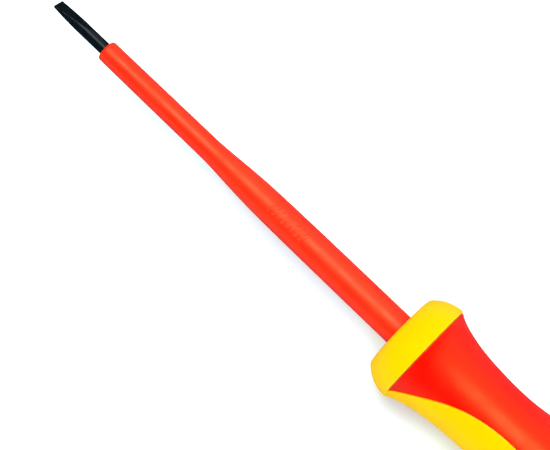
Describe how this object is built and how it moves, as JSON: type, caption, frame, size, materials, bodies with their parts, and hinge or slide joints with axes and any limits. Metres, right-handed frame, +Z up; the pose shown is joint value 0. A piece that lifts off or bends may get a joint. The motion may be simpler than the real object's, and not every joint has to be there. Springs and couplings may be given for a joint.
{
  "type": "insulated screwdriver",
  "caption": "Insulated slotted screwdriver: ground steel blade in a stepped insulating sleeve, in a collared handle of hard plastic with a soft grip.",
  "frame": {"origin": "centre of the footprint of the tool lying on its side, on the surface that it lies on", "axes": "+X along the tool from the tip towards the butt, +Y across it, +Z up"},
  "size_m": [0.2, 0.0262, 0.0243],
  "materials": {
    "blade_steel": "blackened, satin",
    "sleeve_plastic": "satin moulded",
    "core_plastic": "matte",
    "body_plastic": "semi-gloss moulded",
    "grip_rubber": "matte soft-touch",
    "inlay_plastic": "satin moulded"
  },
  "bodies": {
    "root": {"blade": "blade_steel", "insulating_sleeve": "sleeve_plastic", "handle_core": "core_plastic", "handle_body": "body_plastic", "grip_cover": "grip_rubber", "end_cap": "body_plastic", "cap_inlay": "inlay_plastic"}
  },
  "joints": []
}
